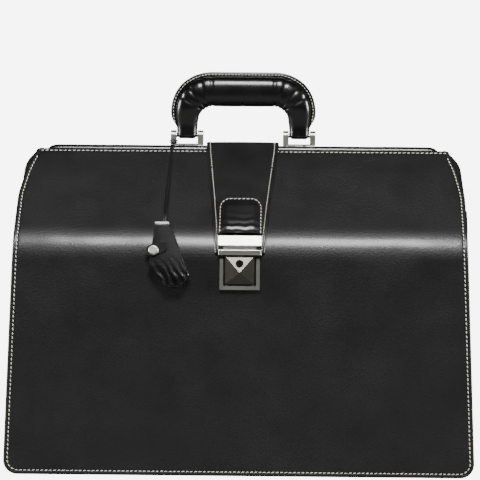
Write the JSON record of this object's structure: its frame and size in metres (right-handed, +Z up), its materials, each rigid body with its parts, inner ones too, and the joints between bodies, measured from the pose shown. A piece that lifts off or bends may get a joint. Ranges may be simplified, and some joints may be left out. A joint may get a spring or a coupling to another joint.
{
  "type": "doctor bag",
  "caption": "Framed black leather doctor bag with a hinged mouth, strap and press lock, folding handle and a key bell on a lace.",
  "frame": {"origin": "middle of the bag on the plane that its seam edges stand on, under the frame hinge", "axes": "+X across the bag to the right seen from the front, -Y towards the front, +Z up"},
  "size_m": [0.429, 0.1929, 0.3695],
  "materials": {
    "black_leather": "glossy black leather with a fine pebble grain",
    "suede_lining": "dark napped lining",
    "leatherboard": "pressed leatherboard stiffener",
    "frame_steel": "plain steel",
    "polished_nickel": "polished nickel plate",
    "gunmetal_nickel": "satin dark nickel",
    "key_steel": "nickel plated key blank",
    "waxed_lace": "thin waxed black lace"
  },
  "bodies": {
    "bag_body": {"front_panel": "black_leather", "back_panel": "black_leather", "front_fold": "black_leather", "back_fold": "black_leather", "gusset_left": "black_leather", "gusset_right": "black_leather", "base_panel": "black_leather", "base_board": "leatherboard", "front_lining": "suede_lining", "back_lining": "suede_lining", "inner_pocket": "suede_lining", "hinge_pin_left": "frame_steel", "hinge_pin_right": "frame_steel", "lock_plate": "polished_nickel", "lock_frame": "polished_nickel", "lock_backing": "frame_steel", "lock_rivets": "frame_steel"},
    "front_frame": {"front_bar": "frame_steel", "front_rim": "black_leather", "front_yoke": "black_leather", "front_cheek_left": "black_leather", "front_cheek_right": "black_leather"},
    "rear_frame": {"back_bar": "frame_steel", "back_rim": "black_leather", "back_yoke": "black_leather", "back_cheek_left": "black_leather", "back_cheek_right": "black_leather", "bracket_left": "polished_nickel", "bracket_right": "polished_nickel", "handle_pin_left": "polished_nickel", "handle_pin_right": "polished_nickel", "bracket_screws": "frame_steel", "strap_top": "black_leather", "lace_knot": "waxed_lace", "lace_strand_inner": "waxed_lace", "lace_strand_outer": "waxed_lace"},
    "handle": {"handle_grip": "black_leather", "handle_welt": "black_leather"},
    "strap_flap": {"strap_shoulder": "black_leather"},
    "strap_end": {"strap_tongue": "black_leather", "strap_chape": "black_leather", "hasp": "polished_nickel", "hasp_rivets": "frame_steel", "hasp_catch": "frame_steel"},
    "button": {"lock_button": "gunmetal_nickel", "button_stem": "frame_steel", "keyhole_ring": "polished_nickel"},
    "rotor": {"key_rotor": "gunmetal_nickel"},
    "key_bell": {"clochette_leather": "black_leather", "clochette_tab": "black_leather", "clochette_snap": "polished_nickel", "key_front": "key_steel", "key_rear": "key_steel"}
  },
  "joints": [
    {"name": "mouth_open", "type": "hinge", "parent": "bag_body", "child": "front_frame", "pos_m": [0, 0, 0.23], "axis": [1, 0, 0], "range_deg": [0, 45], "deforming": ["front_fold"]},
    {"name": "mouth_open_rear", "type": "hinge", "parent": "bag_body", "child": "rear_frame", "pos_m": [0, 0, 0.23], "axis": [-1, 0, 0], "range_deg": [0, 45], "deforming": ["back_fold", "lace_strand_inner", "lace_strand_outer"]},
    {"name": "strap_lift", "type": "hinge", "parent": "rear_frame", "child": "strap_flap", "pos_m": [0, -0.01179, 0.3034], "axis": [-1, 0, 0], "range_deg": [0, 120], "deforming": ["strap_shoulder"]},
    {"name": "tongue_lift", "type": "hinge", "parent": "strap_flap", "child": "strap_end", "pos_m": [0, -0.05056, 0.26164], "axis": [-1, 0, 0], "range_deg": [0, 40]},
    {"name": "button_slide", "type": "slide", "parent": "bag_body", "child": "button", "axis": [0, 0, -1], "range_m": [0, 0.0035], "stiffness_N_per_m": 300, "springref_m": -0.002},
    {"name": "key_turn", "type": "hinge", "parent": "button", "child": "rotor", "pos_m": [0, -0.0965, 0.194], "axis": [0, 1, 0], "range_deg": [0, 90]},
    {"name": "handle_fold", "type": "hinge", "parent": "rear_frame", "child": "handle", "pos_m": [0, 0.0066, 0.3094], "axis": [-1, 0, 0], "range_deg": [-80, 80]},
    {"name": "bell_swing", "type": "hinge", "parent": "rear_frame", "child": "key_bell", "pos_m": [-0.0687, -0.0848, 0.227], "axis": [-1, 0, 0], "range_deg": [0, 60]}
  ],
  "couplings": [
    {"joint": "mouth_open_rear", "follows": "mouth_open", "ratio": 1},
    {"joint": "strap_lift", "follows": "mouth_open", "ratio": 2.666}
  ]
}
